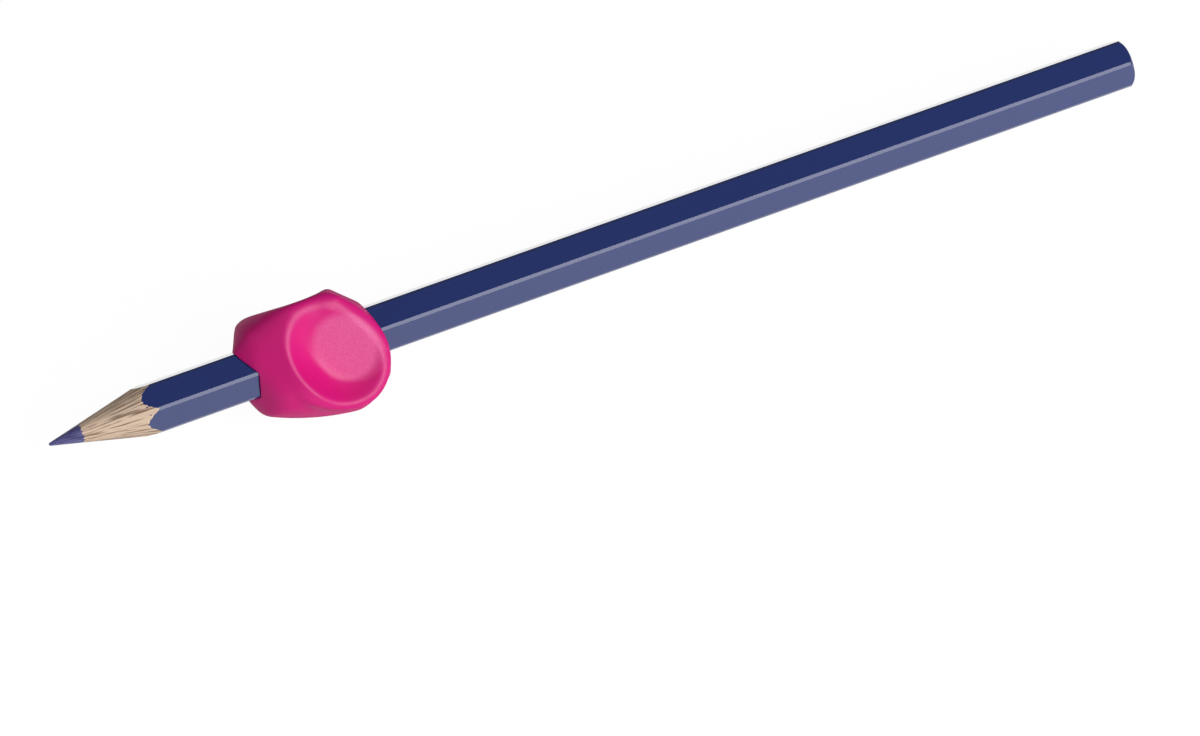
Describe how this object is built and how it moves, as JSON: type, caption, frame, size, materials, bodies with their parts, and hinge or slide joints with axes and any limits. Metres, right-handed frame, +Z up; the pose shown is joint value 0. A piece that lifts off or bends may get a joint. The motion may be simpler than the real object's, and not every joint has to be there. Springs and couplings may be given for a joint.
{
  "type": "pencil with finger grip",
  "caption": "Sharpened hexagonal coloured pencil carrying a soft moulded grip with an oval thumb dish and finger hollows; the grip slides along the pencil's shaft.",
  "frame": {"origin": "on the table under the middle of the part's box, as it lies on the grip's flat fin and one long edge near the butt", "axes": "+X from the point towards the butt, +Z up, -Y towards the viewer, where the thumb dish faces"},
  "size_m": [0.175, 0.0209, 0.0196],
  "materials": {
    "rubber": "satin",
    "casing_wood": "bare, sharpened",
    "lead": "waxy",
    "lacquer": "gloss"
  },
  "bodies": {
    "grip": {"finger_grip": "rubber"},
    "pencil": {"upper_slat": "casing_wood", "lower_slat": "casing_wood", "lead_core": "lead", "lacquer_coat": "lacquer"}
  },
  "joints": [
    {"name": "pencil_slide", "type": "slide", "parent": "grip", "child": "pencil", "axis": [0.9993, 0, -0.0369], "range_m": [-0.121, 0.012]}
  ]
}
